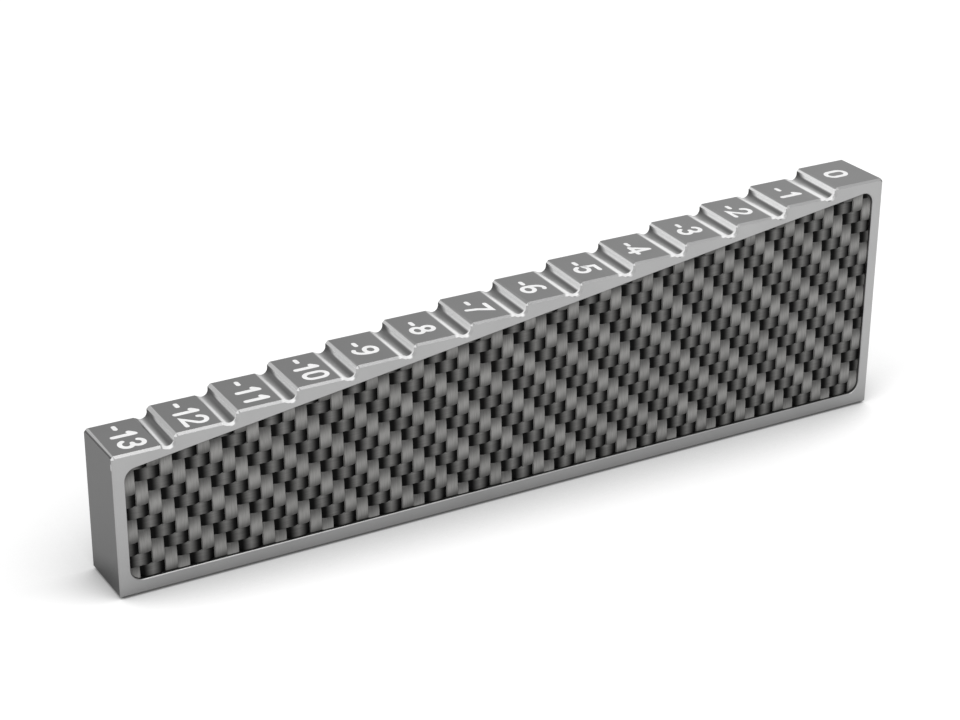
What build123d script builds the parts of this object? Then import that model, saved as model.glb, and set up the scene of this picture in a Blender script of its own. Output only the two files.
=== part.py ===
from build123d import *
import os
from math import ceil, cos, radians, sin, tan

# Droop gauge: an aluminium block with fourteen 1 mm steps and a twill-woven carbon inlay.
# The steps climb along +X, the inlaid face looks towards -Y and the foot stands on Z = 0.
# The origin is the middle of the foot. All sizes are in millimetres, all angles in degrees.

# Steps of the measuring edge
step_count = 14
step_pitch = 7.14
step_rise = 1.0
top_height = 30.0
body_depth = 8.0

# Round relief at the foot of every riser, with a sloping lead-in from the step below
relief_radius = 0.7
relief_depth = 0.33
ramp_angle = 25.5

# Edge breaks
riser_break = 0.3
crest_break = 0.25
foot_break = 0.4
corner_break = 0.15

# Pocket in the front face
rim_side = 1.35
rim_foot = 1.85
rim_crest = 2.15
pocket_depth = 1.0
pocket_radius = 1.4
pocket_break = 0.08

# Carbon inlay
inlay_clearance = 0.05
inlay_thickness = 0.55

# Twill weave of the inlay: every float spans as many tows as it then passes under
tow_width = 1.44
tow_gap = 0.14
float_tows = 2
warp_height = 0.12
weft_height = 0.08
weave_start_x = 1.25
weave_start_z = 0.15
weave_margin = 0.08

# Worked out from the sizes above
body_length = step_count * step_pitch
half_length = body_length / 2
half_depth = body_depth / 2
low_height = top_height - (step_count - 1) * step_rise
tilt = radians(ramp_angle)

front_face = Plane.XZ.offset(half_depth)
pocket_floor = Plane.XZ.offset(half_depth - pocket_depth)
inlay_face = Plane.XZ.offset(half_depth - pocket_depth + inlay_thickness)


def crest_height(x):
    """Height at x of the sloping line through the leading corners of the steps."""
    return low_height + (x + half_length) * step_rise / step_pitch


# Outline of the pocket: its upper side runs parallel to the stepped edge
with BuildSketch(Plane.XZ) as pocket:
    with BuildLine():
        left = -half_length + rim_side
        right = half_length - rim_side
        Polyline(
            (left, rim_foot),
            (right, rim_foot),
            (right, crest_height(right) - rim_crest),
            (left, crest_height(left) - rim_crest),
            close=True,
        )
    make_face()
    fillet(pocket.vertices(), radius=pocket_radius)

# Side view of the block, with the whole stepped edge
with BuildSketch(Plane.XZ) as side_view:
    with BuildLine():
        for step in range(step_count):
            flat = low_height + step * step_rise
            start = -half_length + step * step_pitch
            Line((start, flat - riser_break), (start + riser_break, flat))
            if step == step_count - 1:
                break
            # The relief is an arc that ends upright against the next riser
            riser = start + step_pitch
            centre_x = riser - relief_radius
            centre_z = flat - relief_depth + relief_radius
            touch_x = centre_x - relief_radius * sin(tilt)
            touch_z = centre_z - relief_radius * cos(tilt)
            brink_x = touch_x - (flat - touch_z) / tan(tilt)
            Line((start + riser_break, flat), (brink_x, flat))
            Line((brink_x, flat), (touch_x, touch_z))
            TangentArc((touch_x, touch_z), (riser, centre_z), tangent=(cos(tilt), -sin(tilt)))
            Line((riser, centre_z), (riser, flat + step_rise - riser_break))
        Polyline(
            (start + riser_break, top_height),
            (half_length - riser_break, top_height),
            (half_length, top_height - riser_break),
            (half_length, 0),
            (-half_length, 0),
            (-half_length, low_height - riser_break),
        )
    make_face()

# Block, machined from one piece
with BuildPart() as gauge_body:
    extrude(side_view.sketch, amount=half_depth, both=True)

    # Break along the stepped edge, front and back
    for end in (0, -1):
        outline = gauge_body.faces().sort_by(Axis.Y)[end].outer_wire().edges()
        along = outline.group_by(Axis.X)
        crest = outline - along[0] - along[-1] - outline.group_by(Axis.Z)[0]
        chamfer(crest, length=crest_break)

    # Break round the foot, and a finer one along the upright corners
    foot = gauge_body.edges().group_by(Axis.Z)[0]
    chamfer(foot, length=foot_break)
    corners = gauge_body.edges().filter_by(Axis.Z).group_by(Axis.X)
    chamfer(corners[0] + corners[-1], length=corner_break)

    # Pocket for the inlay
    with BuildSketch(front_face):
        add(pocket.sketch_local)
    extrude(amount=-pocket_depth, mode=Mode.SUBTRACT)
    mouth = gauge_body.edges(Select.LAST).group_by(Axis.Y)[0]
    chamfer(mouth, length=pocket_break)

# Weave grid: column 0 and row 0 start at the foot corner on the left of the pocket
weave_x = -half_length + rim_side + weave_start_x
weave_z = rim_foot + weave_start_z
repeat = 2 * float_tows
columns = range(-repeat, ceil(body_length / tow_width))
rows = range(-repeat, ceil(top_height / tow_width))
float_width = tow_width - tow_gap
float_length = float_tows * tow_width - tow_gap


def float_places(phase, across, up):
    """Middles of the floats that begin at this phase of the twill and span so many tows."""
    return [
        (weave_x + (column + across / 2) * tow_width, weave_z + (row + up / 2) * tow_width)
        for row in rows
        for column in columns
        if (column + row) % repeat == phase
    ]


# Carbon plate, glued into the pocket
with BuildPart() as carbon_inlay:
    with BuildSketch(pocket_floor):
        add(pocket.sketch_local)
        offset(amount=-inlay_clearance, mode=Mode.REPLACE)
    extrude(amount=inlay_thickness)

    # Upright warp floats
    with BuildSketch(inlay_face):
        add(pocket.sketch_local)
        offset(amount=-inlay_clearance - weave_margin, mode=Mode.REPLACE)
        with Locations(*float_places(float_tows, 1, float_tows)):
            Rectangle(float_width, float_length, mode=Mode.INTERSECT)
    extrude(amount=warp_height)

    # Level weft floats
    with BuildSketch(inlay_face):
        add(pocket.sketch_local)
        offset(amount=-inlay_clearance - weave_margin, mode=Mode.REPLACE)
        with Locations(*float_places(0, float_tows, 1)):
            Rectangle(float_length, float_width, mode=Mode.INTERSECT)
    extrude(amount=weft_height)

gauge_body.part.label = "gauge_body"
carbon_inlay.part.label = "carbon_inlay"

os.makedirs("parts", exist_ok=True)
export_step(gauge_body.part, "parts/gauge_body.step")
export_step(carbon_inlay.part, "parts/carbon_inlay.step")
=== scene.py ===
import bpy
import bmesh
import math
from mathutils import Matrix, Vector


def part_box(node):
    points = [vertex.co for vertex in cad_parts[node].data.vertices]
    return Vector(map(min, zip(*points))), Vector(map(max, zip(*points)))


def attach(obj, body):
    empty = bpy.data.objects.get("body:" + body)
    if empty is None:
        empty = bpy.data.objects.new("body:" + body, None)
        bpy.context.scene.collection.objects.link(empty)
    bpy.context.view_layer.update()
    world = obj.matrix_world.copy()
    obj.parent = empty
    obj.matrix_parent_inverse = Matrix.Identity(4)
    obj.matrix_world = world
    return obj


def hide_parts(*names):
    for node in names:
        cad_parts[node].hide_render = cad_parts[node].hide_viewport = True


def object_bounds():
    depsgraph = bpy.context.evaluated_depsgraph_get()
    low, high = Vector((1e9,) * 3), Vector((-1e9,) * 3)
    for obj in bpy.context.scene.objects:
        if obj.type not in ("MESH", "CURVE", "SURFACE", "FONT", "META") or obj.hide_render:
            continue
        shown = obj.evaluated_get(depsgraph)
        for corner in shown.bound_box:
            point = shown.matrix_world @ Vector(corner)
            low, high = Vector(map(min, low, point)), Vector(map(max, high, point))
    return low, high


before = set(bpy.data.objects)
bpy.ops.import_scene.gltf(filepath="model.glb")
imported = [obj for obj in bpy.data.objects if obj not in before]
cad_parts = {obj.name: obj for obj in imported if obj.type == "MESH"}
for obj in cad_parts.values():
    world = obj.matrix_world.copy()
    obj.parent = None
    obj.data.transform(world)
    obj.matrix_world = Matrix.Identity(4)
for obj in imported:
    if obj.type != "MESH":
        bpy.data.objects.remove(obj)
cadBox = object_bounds()
print("frame:", ", ".join(sorted(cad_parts)))

mm = 0.001

# The stepped edge as the block is cut: what the marks, the weave and the painted highlights and shade line
# up with
steps = {
    "count": 14,
    "pitch": 7.14 * mm,
    "rise": 1.0 * mm,
    "lightDrop": 1.6 * mm,     # how far below the line of the leading edges the painted highlights and shade reach
}
bodyLow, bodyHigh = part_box("gauge_body")
lowStep = bodyHigh[2] - (steps["count"] - 1) * steps["rise"]
crestSlope = steps["rise"] / steps["pitch"]


# Shader building

def addNode(tree, kind, inputs=None, **settings):
    node = tree.nodes.new(kind)
    for name, value in settings.items():
        setattr(node, name, value)
    for key, value in (inputs or {}).items():
        if isinstance(value, bpy.types.NodeSocket):
            tree.links.new(value, node.inputs[key])
        else:
            node.inputs[key].default_value = value
    return node


def calc(tree, operation, a, b=0.0, c=0.0, clamp=False):
    node = addNode(tree, "ShaderNodeMath", {0: a, 1: b, 2: c}, operation=operation, use_clamp=clamp)
    return node.outputs[0]


def fade(tree, value, start, end, low=0.0, high=1.0):
    node = addNode(tree, "ShaderNodeMapRange", {0: value, 1: start, 2: end, 3: low, 4: high},
                   interpolation_type="SMOOTHSTEP")
    return node.outputs[0]


def blendColour(tree, factor, a, b, how="MIX"):
    node = addNode(tree, "ShaderNodeMix", {0: factor, 6: a, 7: b}, data_type="RGBA", blend_type=how)
    return node.outputs[2]


def grey(level):
    return (level, level, level, 1.0)


def newGroup(name, inputs, outputs):
    tree = bpy.data.node_groups.new(name, "ShaderNodeTree")
    for label, value in inputs.items():
        socket = tree.interface.new_socket(label, in_out="INPUT", socket_type="NodeSocketFloat")
        socket.default_value = value
    for label, kind in outputs.items():
        tree.interface.new_socket(label, in_out="OUTPUT", socket_type=kind)
    return tree, tree.nodes.new("NodeGroupInput").outputs, tree.nodes.new("NodeGroupOutput").inputs


def placeGroup(tree, group, inputs=None):
    node = tree.nodes.new("ShaderNodeGroup")
    node.node_tree = group
    for key, value in (inputs or {}).items():
        if isinstance(value, bpy.types.NodeSocket):
            tree.links.new(value, node.inputs[key])
        else:
            node.inputs[key].default_value = value
    return node.outputs


def wire(tree, pairs):
    for source, target in pairs:
        tree.links.new(source, target)


def newMaterial(name):
    material = bpy.data.materials.new(name)
    material.use_nodes = True
    tree = material.node_tree
    return material, tree, tree.nodes["Principled BSDF"].inputs


def makeFineGrainGroup():
    # Even blasted grain with broader cloudy patches under it
    tree, given, out = newGroup("fineGrain", {"Grain per mm": 9.0, "Patch per mm": 0.25},
                                {"Grain": "NodeSocketFloat", "Patch": "NodeSocketFloat"})
    place = addNode(tree, "ShaderNodeTexCoord").outputs["Object"]
    grainScale = calc(tree, "DIVIDE", given["Grain per mm"], mm)
    patchScale = calc(tree, "DIVIDE", given["Patch per mm"], mm)
    grain = addNode(tree, "ShaderNodeTexNoise", {"Vector": place, "Scale": grainScale, "Detail": 2.0})
    patch = addNode(tree, "ShaderNodeTexNoise", {"Vector": place, "Scale": patchScale, "Detail": 3.0})
    wire(tree, [(grain.outputs["Fac"], out["Grain"]), (patch.outputs["Fac"], out["Patch"])])
    return tree


# Where the painted highlights and painted shade lie on the stepped edge. Lengths are taken to the next
# riser, up from the step before it, or in from the front face. A pair says where a fade starts and where it
# ends.
# Names with Rise, Spread or Bow say how much a value changes along the edge: evenly, mostly near the low
# end, or about the middle.
lightPlaces = {
    "nudge": 0.01 * mm,                     # keeps the face of a riser with the step before it
    "squareBelow": 0.3,                     # how far normals of steps and risers point across the block
    "flankAbove": 0.98,                     # and those of the two large faces, with the edge breaks between
    "levelAbove": 0.3,                      # how far normals of steps point up
    "endFace": 2.0 * mm,                    # nothing nearer to the low end than this is a riser
    "skew": 0.04,                           # the cuts run slightly askew across the block
    "riserFace": 0.2 * mm,
    "riserLow": (0.16 * mm, 0.40 * mm),     # heights between which the painted highlight on a riser starts
    "riserLowBow": 0.78 * mm,
    "riserLowRise": 0.07 * mm,
    "riserLowSkew": -0.025,
    "riserBack": (-1.0 * mm, 0.75 * mm),    # places across the block between which it fades back to painted shade
    "riserBackAt": 0.50 * mm,
    "riserBackSpread": 2.45 * mm,
    "riserBackMost": 2.28 * mm,
    "riserBackLean": -1.2,
    "brink": 0.84 * mm,                     # where the ramp leaves the step
    "brinkSpread": 2.184 * mm,
    "brinkRise": -1.046 * mm,
    "brinkSoft": 0.16 * mm,
    "rampFrom": 0.27 * mm,                  # where the ramp starts to brighten, and how fast
    "rampFromRise": 0.07 * mm,
    "rampWidth": 0.54 * mm,
    "rampWidthBow": 2.3 * mm,
    "rampCurve": 1.6,
    "rampCurveRise": -0.5,
    "rampTop": 0.1 * mm,
    "rampBack": 0.78,                       # brightness left at the back
    "leadWidth": 0.56 * mm,                 # width of the painted highlight on the leading edge of a step
    "leadWidthSpread": -0.62 * mm,
    "leadLeast": 0.13 * mm,
    "leadMost": 0.36 * mm,
    "leadSkew": 0.02,
    "leadSoft": 0.04 * mm,
    "leadDrop": 0.40 * mm,
    "grooveShadeReach": 1.3 * mm,
    "grooveShadeTop": 0.99 * mm,
    "shadeBack": (2.4 * mm, 3.7 * mm),      # places across the block between which the painted shade on a riser deepens
    "shadeMost": 0.45,
    "shadeStart": 0.16 * mm,
    "lipFrom": (0.10 * mm, 0.34 * mm),      # where the lip round the relief starts at the riser
    "lipFromRise": -0.20 * mm,
    "lipTop": (0.10 * mm, -0.05 * mm),
    "lipNear": (1.3 * mm, 0.8 * mm),        # near the riser the lip lies further in
    "lipNearShare": 0.3,
    "lipNearRise": 0.7,
    "lipInner": (-0.06 * mm, 0.03 * mm),
    "lipInnerBy": -0.15 * mm,
    "turnReach": (1.5 * mm, 1.1 * mm),      # there it also turns a little way into the relief
    "turnDepth": (0.44 * mm, 0.28 * mm),
    "turnDepthRise": -0.30 * mm,
    "turnTop": (0.20 * mm, 0.02 * mm),
    "corner": (0.34 * mm, 0.22 * mm),       # painted highlight on the front corner of a leading edge
    "cornerRise": 0.2 * mm,
    "cornerShare": 0.8,
    "crestLow": -0.3 * mm,                  # painted highlight on the edge break along the steps, brighter towards the tall end
    "crestTop": 0.05 * mm,
    "crestRise": (0.4, 1.0),
    "flankFoot": (0.3 * mm, 1.5 * mm),      # less light reaches the lowest part of the faces
    "flankFootTone": 0.91,
    "endFoot": (0.0, 4.0 * mm),
    "endFootSkew": 0.3,
    "endFootTone": 0.36,
}


def makeStepLightGroup():
    # Painted light on the steps: every riser has a painted highlight below its leading edge and painted
    # shade towards the back, painted shade where the round relief meets it, and painted highlights again at
    # the bottom of the relief and along its lips
    masks = ("Ramp", "Riser", "Leading", "GrooveShade", "Shade", "Lip", "Crest", "Rise", "Foot")
    tree, given, out = newGroup("stepLight", {"Pitch": steps["pitch"], "Drop": steps["lightDrop"]},
                                dict.fromkeys(masks, "NodeSocketFloat"))

    def both(a, b):
        return calc(tree, "MULTIPLY", a, b)

    def either(a, b):
        return calc(tree, "MAXIMUM", a, b)

    def minus(a, b):
        return calc(tree, "SUBTRACT", a, b)

    def below(value, limit):
        return calc(tree, "LESS_THAN", value, limit)

    def above(value, limit):
        return calc(tree, "GREATER_THAN", value, limit)

    def total(value, *parts):
        for part, share in parts:
            value = calc(tree, "MULTIPLY_ADD", part, share, value)
        return value

    def between(value, name, low=0.0, high=1.0):
        return fade(tree, value, lightPlaces[name][0], lightPlaces[name][1], low, high)

    coord = addNode(tree, "ShaderNodeTexCoord").outputs
    nx, ny, nz = addNode(tree, "ShaderNodeSeparateXYZ", {0: coord["Normal"]}).outputs
    px, py, pz = addNode(tree, "ShaderNodeSeparateXYZ", {0: coord["Object"]}).outputs

    # Share of the way from the low end to the tall end, and the two curves that follow it
    along = minus(px, bodyLow[0])
    rise = calc(tree, "DIVIDE", along, bodyHigh[0] - bodyLow[0])
    spread = calc(tree, "SQRT", either(rise, 0.0))
    bow = both(rise, minus(1.0, rise))

    # Distances to the next riser, from the last one, above the step, below the line of the leading edges
    # and from the front face
    start = minus(along, lightPlaces["nudge"])
    cell = calc(tree, "FLOOR", calc(tree, "DIVIDE", start, given["Pitch"]))
    gap = minus(given["Pitch"], calc(tree, "FLOORED_MODULO", start, given["Pitch"]))
    past = minus(given["Pitch"], gap)
    height = minus(pz, calc(tree, "MULTIPLY_ADD", cell, steps["rise"], lowStep))
    drop = minus(calc(tree, "MULTIPLY_ADD", along, crestSlope, lowStep), pz)
    inward = minus(py, bodyLow[1])
    slant = total(gap, (py, lightPlaces["skew"]))

    # Kinds of face
    side = calc(tree, "ABSOLUTE", ny)
    square = below(side, lightPlaces["squareBelow"])
    slanted = both(above(side, lightPlaces["squareBelow"]), below(side, lightPlaces["flankAbove"]))
    stepped = both(below(drop, given["Drop"]), below(px, bodyHigh[0] - steps["pitch"] / 2))
    started = above(along, lightPlaces["endFace"])
    upright = both(both(below(gap, lightPlaces["riserFace"]), started), stepped)
    leads = below(drop, lightPlaces["leadDrop"])

    # Risers: painted highlight below the leading edge, painted shade towards the back
    low = total(height, (bow, lightPlaces["riserLowBow"]), (rise, lightPlaces["riserLowRise"]), (py, lightPlaces["riserLowSkew"]))
    back = total(lightPlaces["riserBackAt"], (spread, lightPlaces["riserBackSpread"]))
    back = calc(tree, "MINIMUM", back, lightPlaces["riserBackMost"])
    back = minus(total(py, (height, lightPlaces["riserBackLean"])), back)
    riser = both(both(between(low, "riserLow"), upright), between(back, "riserBack", 1.0, 0.0))
    unlit = both(upright, minus(1.0, riser))

    # Painted highlight on the ramps that lead down into the reliefs
    reach = total(lightPlaces["brink"], (spread, lightPlaces["brinkSpread"]), (rise, lightPlaces["brinkRise"]))
    brink = fade(tree, minus(slant, reach), lightPlaces["brinkSoft"], -lightPlaces["brinkSoft"])
    wide = total(lightPlaces["rampWidth"], (bow, lightPlaces["rampWidthBow"]))
    ramp = minus(total(slant, (rise, lightPlaces["rampFromRise"])), lightPlaces["rampFrom"])
    ramp = calc(tree, "DIVIDE", ramp, wide, clamp=True)
    ramp = calc(tree, "POWER", ramp, total(lightPlaces["rampCurve"], (rise, lightPlaces["rampCurveRise"])))
    ramp = both(both(ramp, brink), both(stepped, below(height, lightPlaces["rampTop"])))
    ramp = both(ramp, fade(tree, py, 0.0, bodyHigh[1], 1.0, lightPlaces["rampBack"]))

    # Painted highlight on the leading edges of the steps
    width = total(lightPlaces["leadWidth"], (spread, lightPlaces["leadWidthSpread"]))
    width = calc(tree, "MINIMUM", either(width, lightPlaces["leadLeast"]), lightPlaces["leadMost"])
    width = total(width, (py, lightPlaces["leadSkew"]))
    leading = both(fade(tree, minus(past, width), lightPlaces["leadSoft"], -lightPlaces["leadSoft"]), leads)
    leading = both(leading, above(nz, lightPlaces["levelAbove"]))

    # Painted shade in the reliefs and at the back of the risers
    grooveShade = both(both(below(gap, lightPlaces["grooveShadeReach"]), below(height, lightPlaces["grooveShadeTop"])), both(stepped, started))
    grooveShade = either(grooveShade, unlit)
    shade = both(unlit, between(py, "shadeBack", 0.0, lightPlaces["shadeMost"]))
    shade = either(both(leading, below(along, lightPlaces["shadeStart"])), shade)

    # Painted highlights on the lips round the reliefs, the front corners of the leading edges, and the edge
    # break along the steps
    lipStart = between(total(gap, (rise, lightPlaces["lipFromRise"])), "lipFrom")
    near = both(between(gap, "lipNear"), total(lightPlaces["lipNearShare"], (rise, lightPlaces["lipNearRise"])))
    inner = between(total(inward, (near, lightPlaces["lipInnerBy"])), "lipInner")
    lip = both(both(both(lipStart, inner), brink), both(between(height, "lipTop"), stepped))
    turned = between(total(inward, (rise, lightPlaces["turnDepthRise"])), "turnDepth")
    turned = both(both(turned, between(gap, "turnReach")), square)
    turned = both(turned, both(stepped, between(height, "turnTop")))
    corner = between(total(past, (rise, lightPlaces["cornerRise"])), "corner")
    corner = both(both(corner, leads), lightPlaces["cornerShare"])
    lip = either(both(either(lip, corner), slanted), turned)
    crest = both(above(height, lightPlaces["crestLow"]), below(height, lightPlaces["crestTop"]))
    crest = both(both(crest, slanted), between(rise, "crestRise"))

    # Painted shade towards the foot of the front and back face, and of the ends
    flankFoot = between(pz, "flankFoot", lightPlaces["flankFootTone"])
    endFoot = between(total(pz, (py, lightPlaces["endFootSkew"])), "endFoot", lightPlaces["endFootTone"])
    foot = addNode(tree, "ShaderNodeMix", {0: square, 2: flankFoot, 3: endFoot}).outputs[0]

    wire(tree, [(both(mask, square), out[name]) for name, mask in
                (("Ramp", ramp), ("Riser", riser), ("Leading", leading), ("GrooveShade", grooveShade), ("Shade", shade))])
    wire(tree, [(lip, out["Lip"]), (crest, out["Crest"]), (rise, out["Rise"]), (foot, out["Foot"])])
    return tree


fineGrain = makeFineGrainGroup()
stepLight = makeStepLightGroup()


# Block: satin anodised aluminium, with painted highlights on the risers, ramps, leading edges and lips,
# and painted shade in the reliefs and towards the foot

satin = {
    "metal": 0.405,
    "patches": (0.94, 1.06),      # how far broad patches vary the tone
    "grainDark": (0.12, 0.6),     # share and tone of the dark in the grain
    # painted highlights on the ramps, risers, leading edges, lips and edge break, and painted shade in the
    # reliefs
    "rampHighlight": (0.86, 0.88),    # at the low and at the tall end
    "riserHighlight": (0.66, 1.0),
    "leadingHighlight": (0.46, 0.80),
    "lipHighlight": 0.86,
    "crestHighlight": 0.49,
    "grooveShadeTone": 0.20,
    "shade": 0.28,                # how bright the shaded parts stay
    "roughness": 0.36,
    "highlightRoughness": 0.42,
    "highlightMetallic": 0.06,
    "grainRoughness": 0.1,
    "grainDepth": 0.004 * mm,
    "grainStrength": 0.6,
    "grainPerMm": 11.0,
    "patchPerMm": 0.18,
}


def makeSatinAluminium():
    material, tree, surface = newMaterial("satinAluminium")
    grain = placeGroup(tree, fineGrain, {"Grain per mm": satin["grainPerMm"],
                                         "Patch per mm": satin["patchPerMm"]})
    lightMasks = placeGroup(tree, stepLight)
    dark, light = (grey(satin["metal"] * share) for share in satin["patches"])
    metal = blendColour(tree, grain["Patch"], dark, light)
    share, tone = satin["grainDark"]
    speckle = calc(tree, "MULTIPLY", grain["Grain"], share)
    metal = blendColour(tree, speckle, metal, grey(satin["metal"] * tone))
    # Painted shade in the reliefs, then painted highlights on the edge break, ramps, risers, leading edges
    # and lips
    metal = blendColour(tree, lightMasks["GrooveShade"], metal, grey(satin["grooveShadeTone"]))
    metal = blendColour(tree, lightMasks["Crest"], metal, grey(satin["crestHighlight"]))
    for part, tones in (("Ramp", satin["rampHighlight"]), ("Riser", satin["riserHighlight"]),
                        ("Leading", satin["leadingHighlight"])):
        tone = blendColour(tree, lightMasks["Rise"], grey(tones[0]), grey(tones[1]))
        metal = blendColour(tree, lightMasks[part], metal, tone)
    metal = blendColour(tree, lightMasks["Lip"], metal, grey(satin["lipHighlight"]))
    shaded = blendColour(tree, 1.0, metal, grey(satin["shade"]), "MULTIPLY")
    metal = blendColour(tree, lightMasks["Shade"], metal, shaded)
    # Painted shade towards the foot
    foot = lightMasks["Foot"]
    shadow = addNode(tree, "ShaderNodeCombineXYZ", {0: foot, 1: foot, 2: foot}).outputs[0]
    metal = blendColour(tree, 1.0, metal, shadow, "MULTIPLY")
    # Where highlights are painted, the surface is rougher and barely metallic
    freshAndHighlit = calc(tree, "MAXIMUM", lightMasks["Ramp"], lightMasks["Riser"])
    freshAndHighlit = calc(tree, "MAXIMUM", freshAndHighlit, calc(tree, "MAXIMUM", lightMasks["Leading"], lightMasks["Lip"]))
    spread = satin["grainRoughness"]
    rough = calc(tree, "MULTIPLY_ADD", grain["Grain"], spread, satin["roughness"] - spread / 2)
    change = calc(tree, "MULTIPLY", freshAndHighlit, satin["highlightRoughness"] - satin["roughness"])
    metallic = calc(tree, "MULTIPLY_ADD", freshAndHighlit, satin["highlightMetallic"] - 1.0, 1.0)
    bump = addNode(tree, "ShaderNodeBump", {"Height": grain["Grain"], "Distance": satin["grainDepth"],
                                           "Strength": satin["grainStrength"]})
    surface["Specular IOR Level"].default_value = 0.0
    wire(tree, [(metal, surface["Base Color"]), (metallic, surface["Metallic"]),
                (calc(tree, "ADD", rough, change), surface["Roughness"]),
                (bump.outputs[0], surface["Normal"])])
    return material


satinAluminium = makeSatinAluminium()
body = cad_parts["gauge_body"]
body.material_slots[0].material = satinAluminium
print("block finished in satin aluminium")


# Inlay: carbon plate in 2/2 twill, one float over two tows

inlayLow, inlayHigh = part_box("carbon_inlay")
weave = {
    "tow": 1.436 * mm,           # width of a tow, and so the pitch of the weave
    "startX": 1.18 * mm,         # first column, from the left edge of the plate
    "startZ": -0.08 * mm,        # first row, from the foot edge of the plate
    "groove": 0.03 * mm,         # how deep the sides of a tow drop
    "grooveCurve": 5,            # the higher, the flatter the middle of the tow
    "crown": 0.025 * mm,
    "levelDive": 0.24 * mm,      # how deep level and upright floats dive at their ends
    "uprightDive": 0.09 * mm,
    "slope": 0.62 * mm,          # length over which they dive
    "corner": 1.35 * mm,         # rounding of the plate's corners
    "cornerCuts": 7,
    "lines": (0.0, 0.045, 0.13, 0.28, 0.5, 0.72, 0.87, 0.955),   # mesh lines across one tow
    "span": 2,                   # tows that a float passes over
    "snap": 1e-4,                # share of a tow that rounding may take off
    "onLine": 0.01,              # share of a tow within which a point counts as lying between two tows
    "rimGap": 0.02 * mm,         # least distance of a mesh line from the rim
    "cutTolerance": 0.001 * mm,
    "sharpAngle": 60,
    "layerApart": 7.3,           # keeps the streaks of level floats apart from those of upright ones
}
weave["originX"] = inlayLow[0] + weave["startX"]
weave["originZ"] = inlayLow[2] + weave["startZ"]


def towCell(value, origin):
    count = (value - origin) / weave["tow"]
    cell = math.floor(count + weave["snap"])
    return cell, max(0.0, count - cell)


def floatHeight(along, across, dive):
    # Outward height of a float: crowned across, and diving at both ends
    side = 1.0 - abs(2.0 * across - 1.0) ** weave["grooveCurve"]
    end = min(along, 1.0 - along) * 2.0 * weave["tow"]
    up = min(1.0, end / weave["slope"])
    up = up * up * (3.0 - 2.0 * up)
    crown = 1.0 - (2.0 * along - 1.0) ** 2
    return (side - 1.0) * weave["groove"] - (1.0 - up) * dive + (crown * side - 1.0) * weave["crown"]


def weaveHeight(column, across, row, up):
    span = weave["span"]
    phase = (column + row) % (2 * span)
    if phase < span:
        return floatHeight((phase + across) / span, up, weave["levelDive"])
    return floatHeight((phase - span + up) / span, across, weave["uprightDive"])


def surfaceHeight(x, z):
    column, across = towCell(x, weave["originX"])
    row, up = towCell(z, weave["originZ"])
    height = weaveHeight(column, across, row, up)
    if across < weave["onLine"]:
        height = min(height, weaveHeight(column - 1, 1.0, row, up))
    if up < weave["onLine"]:
        height = min(height, weaveHeight(column, across, row - 1, 1.0))
    return height


def meshLines(start, end, origin):
    first = math.floor((start - origin) / weave["tow"]) - 1
    last = math.ceil((end - origin) / weave["tow"]) + 1
    places = [origin + (cell + part) * weave["tow"]
              for cell in range(first, last) for part in weave["lines"]]
    inside = [place for place in places if start + weave["rimGap"] < place < end - weave["rimGap"]]
    return [start] + inside + [end]


def plateOutline():
    # Points on the rounded corners of the plate with their outward directions, to cut the plate out along
    lift = math.hypot(1.0, crestSlope)
    radius = weave["corner"]
    left, right, foot = inlayLow[0], inlayHigh[0], inlayLow[2]
    crestAt = inlayHigh[2] - radius + radius * lift - (right - radius) * crestSlope
    up = Vector((-crestSlope, 0.0, 1.0)) / lift

    def crest(x, drop):
        return crestAt + x * crestSlope - drop * lift

    centres = [
        (left + radius, foot + radius, math.pi, 1.5 * math.pi),
        (right - radius, foot + radius, 1.5 * math.pi, 2.0 * math.pi),
        (right - radius, crest(right - radius, radius), 0.0, math.atan2(up.z, up.x)),
        (left + radius, crest(left + radius, radius), math.atan2(up.z, up.x), math.pi),
    ]
    planes = []
    for x, z, start, end in centres:
        for number in range(weave["cornerCuts"] + 1):
            angle = start + (end - start) * number / weave["cornerCuts"]
            out = Vector((math.cos(angle), 0.0, math.sin(angle)))
            planes.append((Vector((x, 0.0, z)) + out * radius, out))
    return planes, crest(right, 0.0)


def makeCarbonTwill():
    top, back = inlayLow[1], inlayHigh[1]
    planes, highest = plateOutline()
    mesh = bmesh.new()
    columns = meshLines(inlayLow[0], inlayHigh[0], weave["originX"])
    rows = meshLines(inlayLow[2], highest, weave["originZ"])
    grid = [[mesh.verts.new((x, top - surfaceHeight(x, z), z)) for z in rows] for x in columns]
    for left, right in zip(grid, grid[1:]):
        for corner in range(len(rows) - 1):
            mesh.faces.new((left[corner], right[corner], right[corner + 1], left[corner + 1]))
    for point, out in planes:
        parts = mesh.verts[:] + mesh.edges[:] + mesh.faces[:]
        bmesh.ops.bisect_plane(mesh, geom=parts, plane_co=point, plane_no=out, dist=weave["cutTolerance"],
                               clear_outer=True)
    for face in mesh.faces:
        face.smooth = True
    rim = [edge for edge in mesh.edges if edge.is_boundary]
    walls = bmesh.ops.extrude_edge_only(mesh, edges=rim)["geom"]
    ground = [part for part in walls if isinstance(part, bmesh.types.BMVert)]
    for corner in ground:
        corner.co.y = back
    bmesh.ops.contextual_create(mesh, geom=[edge for edge in mesh.edges if edge.is_boundary])
    bmesh.ops.recalc_face_normals(mesh, faces=mesh.faces[:])
    data = bpy.data.meshes.new("carbonTwillInlay")
    mesh.to_mesh(data)
    mesh.free()
    data.set_sharp_from_angle(angle=math.radians(weave["sharpAngle"]))
    piece = bpy.data.objects.new("carbonTwillInlay", data)
    bpy.context.scene.collection.objects.link(piece)
    return piece


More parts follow.
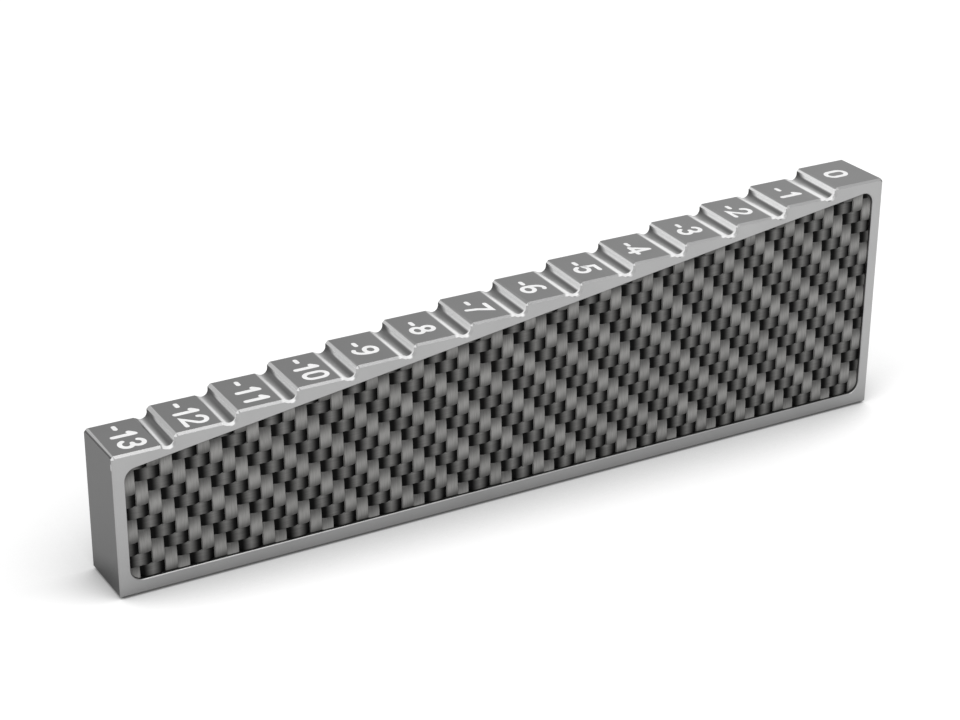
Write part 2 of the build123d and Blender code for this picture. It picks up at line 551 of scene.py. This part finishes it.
def makeTwillGroup():
    # Where a point lies in the weave: upright or level float, and its place along and across that float
    tree, given, out = newGroup(
        "twillWeave",
        {"Tow": weave["tow"], "Start X": weave["originX"], "Start Z": weave["originZ"]},
        {"Upright": "NodeSocketFloat", "Along": "NodeSocketFloat", "Across": "NodeSocketFloat",
         "Float": "NodeSocketVector", "Fibre": "NodeSocketVector"})
    place = addNode(tree, "ShaderNodeTexCoord").outputs["Object"]
    px, py, pz = addNode(tree, "ShaderNodeSeparateXYZ", {0: place}).outputs
    u = calc(tree, "DIVIDE", calc(tree, "SUBTRACT", px, given["Start X"]), given["Tow"])
    v = calc(tree, "DIVIDE", calc(tree, "SUBTRACT", pz, given["Start Z"]), given["Tow"])
    column, row = calc(tree, "FLOOR", u), calc(tree, "FLOOR", v)
    x, z = calc(tree, "SUBTRACT", u, column), calc(tree, "SUBTRACT", v, row)
    phase = calc(tree, "FLOORED_MODULO", calc(tree, "ADD", column, row), 2.0 * weave["span"])
    upright = calc(tree, "GREATER_THAN", phase, weave["span"] - 0.5)
    level = calc(tree, "SUBTRACT", 1.0, upright)
    # 0 or 1: which of its tows the float crosses here
    second = calc(tree, "SUBTRACT", phase, calc(tree, "MULTIPLY", upright, weave["span"]))

    def choose(ifUpright, ifLevel):
        return calc(tree, "MULTIPLY_ADD", upright, ifUpright, calc(tree, "MULTIPLY", level, ifLevel))

    along = calc(tree, "MULTIPLY", calc(tree, "ADD", choose(z, x), second), 1.0 / weave["span"])
    across = choose(x, z)
    firstColumn = calc(tree, "SUBTRACT", column, calc(tree, "MULTIPLY", level, second))
    firstRow = calc(tree, "SUBTRACT", row, calc(tree, "MULTIPLY", upright, second))
    name = addNode(tree, "ShaderNodeCombineXYZ", {0: firstColumn, 1: firstRow, 2: upright})
    layer = choose(0.0, weave["layerApart"])
    fibre = addNode(tree, "ShaderNodeCombineXYZ", {0: choose(u, v), 1: choose(v, u), 2: layer})
    wire(tree, [(upright, out["Upright"]), (along, out["Along"]), (across, out["Across"]),
                (name.outputs[0], out["Float"]), (fibre.outputs[0], out["Fibre"])])
    return tree


carbon = {
    # painted sheen: upright floats are lighter than level ones, as light falls on the fibres
    "upright": 0.32,
    "level": 0.20,
    "dark": 0.002,               # painted shade at the ends of the level floats, deepening the real shade where they dive
    "specular": 0.05,
    "tint": (1.0, 0.99, 0.965, 1.0),
    "uprightPeak": 0.46,         # where along an upright float its painted highlight is brightest
    "uprightEnd": 0.36,          # how bright its ends are against that, a painted shade
    "uprightLean": 0.13,         # how much further up that place lies at the right side of the float
    "levelFade": (0.13, 0.58),   # shares of a level float's length between which its painted shade gives way to its own tone
    "sideShade": 0.84,                # painted shade: how bright the sides of an upright float are
    "sideShadeWidth": 0.1,
    "streak": (11.0, 0.7, 1.0),  # fibre streaks to a tow: across it, along it and between the layers
    "streakLight": (0.6, 0.7),   # least light in a streak, and how much it varies
    "floatLight": (0.92, 0.16),  # the same from one float to the next
    "roughness": 0.42,
    "grainRoughness": 0.12,
    "grainPerMm": 6.0,
    "patchPerMm": 0.1,
    "fibreDepth": 0.006 * mm,
    "fibreStrength": 0.5,
}


def makeCarbonMaterial():
    material, tree, surface = newMaterial("carbonTwill")
    spot = placeGroup(tree, makeTwillGroup())
    end = calc(tree, "MINIMUM", spot["Along"], calc(tree, "SUBTRACT", 1.0, spot["Along"]))
    rim = calc(tree, "MINIMUM", spot["Across"], calc(tree, "SUBTRACT", 1.0, spot["Across"]))
    stretch = addNode(tree, "ShaderNodeVectorMath", {0: spot["Fibre"], 1: carbon["streak"]},
                      operation="MULTIPLY")
    streaks = addNode(tree, "ShaderNodeTexNoise", {"Vector": stretch.outputs[0], "Scale": 1.0, "Detail": 3.0,
                                                  "Roughness": 0.6}).outputs["Fac"]
    shade = addNode(tree, "ShaderNodeTexWhiteNoise", {"Vector": spot["Float"]}).outputs["Value"]
    # Painted highlight along each upright float, lying further up at its right side, with painted shade at
    # its ends
    leaning = calc(tree, "MULTIPLY_ADD", spot["Across"], -carbon["uprightLean"], carbon["uprightLean"] / 2)
    peak = calc(tree, "ADD", spot["Along"], leaning)
    peak = calc(tree, "ABSOLUTE", calc(tree, "SUBTRACT", peak, carbon["uprightPeak"]))
    peak = fade(tree, peak, 1.0 - carbon["uprightPeak"], 0.0)
    upright = blendColour(tree, peak, grey(carbon["upright"] * carbon["uprightEnd"]),
                          grey(carbon["upright"]))
    # Painted shade at the ends of the level floats
    level = blendColour(tree, fade(tree, end, *carbon["levelFade"]), grey(carbon["dark"]),
                        grey(carbon["level"]))
    colour = blendColour(tree, spot["Upright"], level, upright)
    colour = blendColour(tree, 1.0, colour, carbon["tint"], "MULTIPLY")
    least, vary = carbon["streakLight"]
    light = calc(tree, "MULTIPLY_ADD", streaks, vary, least)
    least, vary = carbon["floatLight"]
    light = calc(tree, "MULTIPLY", light, calc(tree, "MULTIPLY_ADD", shade, vary, least))
    # Painted shade along the sides of the upright floats
    sideShade = calc(tree, "MULTIPLY", spot["Upright"], fade(tree, rim, carbon["sideShadeWidth"], 0.0))
    light = calc(tree, "MULTIPLY", light, calc(tree, "MULTIPLY_ADD", sideShade, carbon["sideShade"] - 1.0, 1.0))
    brightness = addNode(tree, "ShaderNodeCombineXYZ", {0: light, 1: light, 2: light}).outputs[0]
    colour = blendColour(tree, 1.0, colour, brightness, "MULTIPLY")
    grain = placeGroup(tree, fineGrain, {"Grain per mm": carbon["grainPerMm"],
                                         "Patch per mm": carbon["patchPerMm"]})
    spread = carbon["grainRoughness"]
    rough = calc(tree, "MULTIPLY_ADD", grain["Grain"], spread, carbon["roughness"] - spread / 2)
    bump = addNode(tree, "ShaderNodeBump", {"Height": streaks, "Distance": carbon["fibreDepth"],
                                           "Strength": carbon["fibreStrength"]})
    surface["Specular IOR Level"].default_value = carbon["specular"]
    wire(tree, [(colour, surface["Base Color"]), (rough, surface["Roughness"]),
                (bump.outputs[0], surface["Normal"])])
    return material


inlay = makeCarbonTwill()
inlay.data.materials.append(makeCarbonMaterial())
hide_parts("carbon_inlay")
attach(inlay, "root")
print("inlay woven:", len(inlay.data.polygons), "faces")


# Scale marks: white numbers on the step tops, read from the tall end

marks = {
    "height": 3.1 * mm,
    "stroke": 0.53 * mm,
    "oneStroke": 0.62 * mm,
    "dash": 0.63 * mm,
    "zeroWidth": 1.1,             # the lone 0 is that much wider
    "proud": 0.006 * mm,
    "depth": 0.04 * mm,
    "fromRiser": 1.67 * mm,       # from the leading edge of a step to the feet of its digits
    "singleFromRiser": 1.19 * mm,
    "zeroFromRiser": 1.48 * mm,
    "pairAt": (0.42 * mm, -1.84 * mm),   # places across the block, the back is plus
    "pairDashAt": 2.3 * mm,
    "singleAt": -0.71 * mm,
    "singleDashAt": 1.2 * mm,
    "zeroAt": 0.0,
    "endingInOne": 0.32 * mm,     # such a number stands that much nearer to the front face
    "dashShare": 0.3,             # and its dash by this share of it
    "endTurns": (0.5, 0.95, 1.3), # radians round the end of a stroke
    "bendLeast": 0.5,             # keeps the outside of a sharp bend from running away
    "paint": (0.98, 0.90),
    "paintFade": (0.3, 0.7),
    "roughness": 0.4,
    "grainRoughness": 0.2,
    "grainPerMm": 8.0,
    "patchPerMm": 1.2,
    "grainDepth": 0.004 * mm,
    "grainStrength": 0.5,
}


def arc(x, y, rx, ry, start, end, parts=14):
    angles = [math.radians(start + (end - start) * part / parts) for part in range(parts + 1)]
    return [(x + rx * math.cos(angle), y + ry * math.sin(angle)) for angle in angles]


# Centre lines of the digits in a box one high and about two thirds wide; True closes the line
digitLines = {
    "0": [(arc(0.0, 0.65, 0.24, 0.27, 0, 180) + arc(0.0, 0.35, 0.24, 0.27, 180, 360), True)],
    "1": [([(0.06, 0.86), (0.06, 0.06)], False), ([(-0.12, 0.70), (0.04, 0.85)], False)],
    "2": [(arc(0.0, 0.67, 0.25, 0.25, 170, -35) + [(-0.25, 0.08), (0.33, 0.08)], False)],
    "3": [(arc(0.0, 0.71, 0.22, 0.21, 160, -95), False), (arc(0.0, 0.28, 0.25, 0.22, 95, -165), False)],
    "4": [([(0.34, 0.27), (-0.30, 0.27)], False), ([(-0.26, 0.28), (0.10, 0.86)], False),
          ([(0.12, 0.88), (0.12, 0.05)], False)],
    "5": [([(0.27, 0.92), (-0.16, 0.92), (-0.22, 0.5)] + arc(0.0, 0.32, 0.26, 0.25, 130, -160), False)],
    "6": [(arc(0.0, 0.30, 0.25, 0.22, 0, 360, 24)[:-1], True),
          (arc(0.06, 0.42, 0.31, 0.50, 70, 195), False)],
    "7": [([(-0.30, 0.92), (0.27, 0.92), (0.02, 0.45), (-0.07, 0.05)], False)],
    "8": [(arc(0.0, 0.71, 0.21, 0.21, 0, 360, 24)[:-1], True),
          (arc(0.0, 0.29, 0.25, 0.21, 0, 360, 27)[:-1], True)],
    "9": [(arc(0.0, 0.70, 0.25, 0.22, 0, 360, 24)[:-1], True),
          (arc(-0.06, 0.58, 0.31, 0.50, -110, 15), False)],
    "-": [([(-0.5, 0.38), (0.5, 0.38)], False)],
}


def roundEnd(before, end, side):
    # Narrowing cross lines that finish a ribbon beyond its end
    out = side[0] - end
    way = (end - before).normalized() * out.length
    lines = []
    for turn in marks["endTurns"]:
        middle = end + way * math.sin(turn)
        lines.append((middle + out * math.cos(turn), middle - out * math.cos(turn)))
    return lines


def makeStroke(points, closed, width, low, high):
    # A flat ribbon of even width along a line, round at its ends, as a closed thin solid
    points = [Vector(point) for point in points]
    count = len(points)
    sides = []
    for number, point in enumerate(points):
        before = points[number - 1] if closed or number else point
        after = points[(number + 1) % count] if closed or number + 1 < count else point
        ahead = after - point if after != point else point - before
        behind = point - before if before != point else ahead
        middle = (ahead.normalized() + behind.normalized()).normalized()
        bend = max(marks["bendLeast"], middle.dot(ahead.normalized()))
        out = Vector((-middle.y, middle.x)) * (width / 2) / bend
        sides.append((point + out, point - out))
    if not closed:
        head = roundEnd(points[1], points[0], sides[0])[::-1]
        sides = head + sides + roundEnd(points[-2], points[-1], sides[-1])
    mesh = bmesh.new()
    rings = []
    for left, right in sides:
        rings.append([mesh.verts.new((p.x, p.y, z)) for p, z in
                      ((left, high), (right, high), (right, low), (left, low))])
    spans = len(rings) if closed else len(rings) - 1
    for number in range(spans):
        here, there = rings[number], rings[(number + 1) % len(rings)]
        for side in range(4):
            following = (side + 1) % 4
            mesh.faces.new((here[side], here[following], there[following], there[side]))
    if not closed:
        mesh.faces.new(rings[0])
        mesh.faces.new(rings[-1])
    bmesh.ops.recalc_face_normals(mesh, faces=mesh.faces[:])
    data = bpy.data.meshes.new("stroke")
    mesh.to_mesh(data)
    mesh.free()
    return data


def joinStrokes(strokes):
    # Strokes that cross become one clean solid
    objects = [bpy.data.objects.new("stroke", data) for data in strokes]
    for piece in objects:
        bpy.context.scene.collection.objects.link(piece)
    first = objects[0]
    for other in objects[1:]:
        joint = first.modifiers.new("join", "BOOLEAN")
        joint.operation = "UNION"
        joint.solver = "EXACT"
        joint.object = other
    bpy.context.view_layer.update()
    shape = bpy.data.meshes.new_from_object(first.evaluated_get(bpy.context.evaluated_depsgraph_get()))
    for piece in objects:
        bpy.data.objects.remove(piece)
    return shape


def makeGlyph(character):
    high = marks["height"]
    wide = marks["dash"] if character == "-" else high
    stroke = marks["oneStroke"] if character == "1" else marks["stroke"]
    strokes = []
    for points, closed in digitLines[character]:
        points = [(x * wide, y * high) for x, y in points]
        strokes.append(makeStroke(points, closed, stroke, -marks["depth"], marks["proud"]))
    return joinStrokes(strokes)


def numberLayout(label):
    # The characters of a number with their places across the block, and how far it stands from the riser
    if label == "0":
        return [("0", marks["zeroAt"])], marks["zeroFromRiser"]
    if len(label) == 1:
        layout, away = [("-", marks["singleDashAt"]), (label, marks["singleAt"])], marks["singleFromRiser"]
    else:
        layout, away = [("-", marks["pairDashAt"])] + list(zip(label, marks["pairAt"])), marks["fromRiser"]
    if label[-1] == "1":
        lean = marks["endingInOne"]
        layout = [(character, y - (lean * marks["dashShare"] if character == "-" else lean))
                  for character, y in layout]
    return layout, away


def makeMarks(material):
    glyphs = {character: makeGlyph(character) for character in digitLines}
    for number in range(steps["count"]):
        label = str(steps["count"] - 1 - number)
        layout, away = numberLayout(label)
        size = Matrix.Diagonal((marks["zeroWidth"] if label == "0" else 1.0, 1.0, 1.0, 1.0))
        turn = Matrix.Rotation(-math.pi / 2, 4, "Z")
        riser = bodyLow[0] + number * steps["pitch"]
        top = lowStep + number * steps["rise"]
        mesh = bmesh.new()
        for character, y in layout:
            part = glyphs[character].copy()
            part.transform(Matrix.Translation((riser + away, y, top)) @ turn @ size)
            mesh.from_mesh(part)
        data = bpy.data.meshes.new("mark")
        mesh.to_mesh(data)
        mesh.free()
        data.materials.append(material)
        piece = bpy.data.objects.new("scaleMark" + ("0" if label == "0" else "Minus" + label), data)
        bpy.context.scene.collection.objects.link(piece)
        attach(piece, "root")


def makeMarkPaint():
    material, tree, surface = newMaterial("whiteMark")
    grain = placeGroup(tree, fineGrain, {"Grain per mm": marks["grainPerMm"],
                                         "Patch per mm": marks["patchPerMm"]})
    freshAndHighlit, aged = (grey(tone) for tone in marks["paint"])
    colour = blendColour(tree, fade(tree, grain["Patch"], *marks["paintFade"]), freshAndHighlit, aged)
    rough = calc(tree, "MULTIPLY_ADD", grain["Grain"], marks["grainRoughness"], marks["roughness"])
    bump = addNode(tree, "ShaderNodeBump", {"Height": grain["Grain"], "Distance": marks["grainDepth"],
                                           "Strength": marks["grainStrength"]})
    wire(tree, [(colour, surface["Base Color"]), (rough, surface["Roughness"]),
                (bump.outputs[0], surface["Normal"])])
    return material


makeMarks(makeMarkPaint())
print("scale marked 0 to", 1 - steps["count"])


# Studio: white floor sweep, soft light all round that is lower behind, and one large softbox above

studio = {
    "floorSize": 3.0,
    "floorFront": 0.74,           # tone of the floor before and behind the gauge
    "floorBack": 0.265,
    "floorSweep": (-0.012, 0.004),
    "whiteGlow": 0.85,            # what the camera sees on top of the lit floor, so that it comes out white
    "glossGlow": 0.58,            # what the metal sees on top of it, as a share of the floor's own tone
    "contact": 0.030,             # reach of the painted soft shadow round the foot, where the gauge hides the sky
    "contactPower": 1.4,
    "floorRoughness": 0.9,
    "front": 0.98,                # light from the front, and what it falls to at the right
    "frontRight": 0.52,
    "backLow": 0.26,              # light from behind, and what the right, the left and the height add to it
    "backRight": 0.22,
    "backLeft": 0.5,
    "backHigh": 0.34,
    "rightFade": (0.30, 0.60),
    "leftFade": (-0.25, -0.60),
    "highFade": (0.25, 0.65),
    "forwardFade": (0.30, -0.40),
    "boxAim": (0.10, -0.30, 0.95),
    "boxAway": 0.9,
    "boxSize": 0.5,
    "boxPower": 2.0,
}


def makeFloor():
    mesh = bmesh.new()
    half = studio["floorSize"] / 2
    corners = ((-half, -half), (half, -half), (half, half), (-half, half))
    mesh.faces.new([mesh.verts.new((x, y, bodyLow[2])) for x, y in corners])
    data = bpy.data.meshes.new("studioFloor")
    mesh.to_mesh(data)
    mesh.free()
    floor = bpy.data.objects.new("studioFloor", data)
    bpy.context.scene.collection.objects.link(floor)
    material, tree, surface = newMaterial("floorWhite")
    path = addNode(tree, "ShaderNodeLightPath").outputs
    place = addNode(tree, "ShaderNodeTexCoord").outputs["Object"]
    y = addNode(tree, "ShaderNodeSeparateXYZ", {0: place}).outputs[1]
    sweep = fade(tree, y, *studio["floorSweep"], studio["floorFront"], studio["floorBack"])
    # Painted shadow: the floor's tone and its glow darken where the gauge hides the sky round the foot
    clear = addNode(tree, "ShaderNodeAmbientOcclusion", {"Distance": studio["contact"]}).outputs["AO"]
    tone = calc(tree, "MULTIPLY", sweep, calc(tree, "SQRT", clear))
    glow = calc(tree, "MULTIPLY", path["Is Camera Ray"], studio["whiteGlow"])
    glow = calc(tree, "MULTIPLY", glow, calc(tree, "POWER", clear, studio["contactPower"]))
    gloss = calc(tree, "MAXIMUM", path["Is Glossy Ray"], path["Is Transmission Ray"])
    gloss = calc(tree, "MULTIPLY", gloss, calc(tree, "MULTIPLY", tone, studio["glossGlow"]))
    surface["Roughness"].default_value = studio["floorRoughness"]
    surface["Specular IOR Level"].default_value = 0.0
    surface["Emission Color"].default_value = grey(1.0)
    wire(tree, [(blendColour(tree, tone, grey(0.0), grey(1.0)), surface["Base Color"]),
                (calc(tree, "ADD", glow, gloss), surface["Emission Strength"])])
    data.materials.append(material)


def makeWorld():
    world = bpy.data.worlds.new("softStudio")
    bpy.context.scene.world = world
    world.use_nodes = True
    tree = world.node_tree
    path = addNode(tree, "ShaderNodeLightPath").outputs
    direction = addNode(tree, "ShaderNodeTexCoord").outputs["Generated"]
    x, y, z = addNode(tree, "ShaderNodeSeparateXYZ", {0: direction}).outputs
    right = fade(tree, x, *studio["rightFade"])
    front = calc(tree, "MULTIPLY_ADD", right, studio["frontRight"] - studio["front"], studio["front"])
    back = calc(tree, "MULTIPLY_ADD", right, studio["backRight"], studio["backLow"])
    back = calc(tree, "MULTIPLY_ADD", fade(tree, x, *studio["leftFade"]), studio["backLeft"], back)
    back = calc(tree, "MULTIPLY_ADD", fade(tree, z, *studio["highFade"]), studio["backHigh"], back)
    forward = fade(tree, y, *studio["forwardFade"])
    level = addNode(tree, "ShaderNodeMix", {0: forward, 2: back, 3: front}).outputs[0]
    strength = calc(tree, "MAXIMUM", level, path["Is Camera Ray"])
    sky = tree.nodes["Background"]
    sky.inputs["Color"].default_value = grey(1.0)
    wire(tree, [(strength, sky.inputs["Strength"])])


def makeSoftbox():
    middle = (Vector(cadBox[0]) + Vector(cadBox[1])) / 2
    light = bpy.data.lights.new("softbox", "AREA")
    light.shape = "SQUARE"
    light.size = studio["boxSize"]
    light.energy = studio["boxPower"]
    lamp = bpy.data.objects.new("softbox", light)
    bpy.context.scene.collection.objects.link(lamp)
    way = Vector(studio["boxAim"]).normalized()
    lamp.location = middle + way * studio["boxAway"]
    lamp.rotation_euler = way.to_track_quat("Z", "Y").to_euler()


view = {
    "azimuth": -29.97,
    "elevation": 24.595,
    "roll": 0.361,
    "distance": 271.1 * mm,
    "aim": Vector((0.096, 6.661, 12.728)) * mm,
    "lens": 86.46,
    "sensor": 36.0,
    "clipStart": 0.01,
}


def makeCamera():
    turn, rise = math.radians(view["azimuth"]), math.radians(view["elevation"])
    back = Vector((math.sin(turn) * math.cos(rise), -math.cos(turn) * math.cos(rise), math.sin(rise)))
    right = Vector((0.0, 0.0, 1.0)).cross(back).normalized()
    right.rotate(Matrix.Rotation(math.radians(view["roll"]), 3, back))
    up = back.cross(right)
    data = bpy.data.cameras.new("camera")
    data.lens = view["lens"]
    data.sensor_width = view["sensor"]
    data.clip_start = view["clipStart"]
    camera = bpy.data.objects.new("camera", data)
    bpy.context.scene.collection.objects.link(camera)
    facing = Matrix((right, up, back)).transposed().to_4x4()
    camera.matrix_world = Matrix.Translation(view["aim"] + back * view["distance"]) @ facing
    bpy.context.scene.camera = camera


makeFloor()
makeWorld()
makeSoftbox()
makeCamera()
bpy.context.scene.view_settings.view_transform = "Standard"
print("studio and camera set")
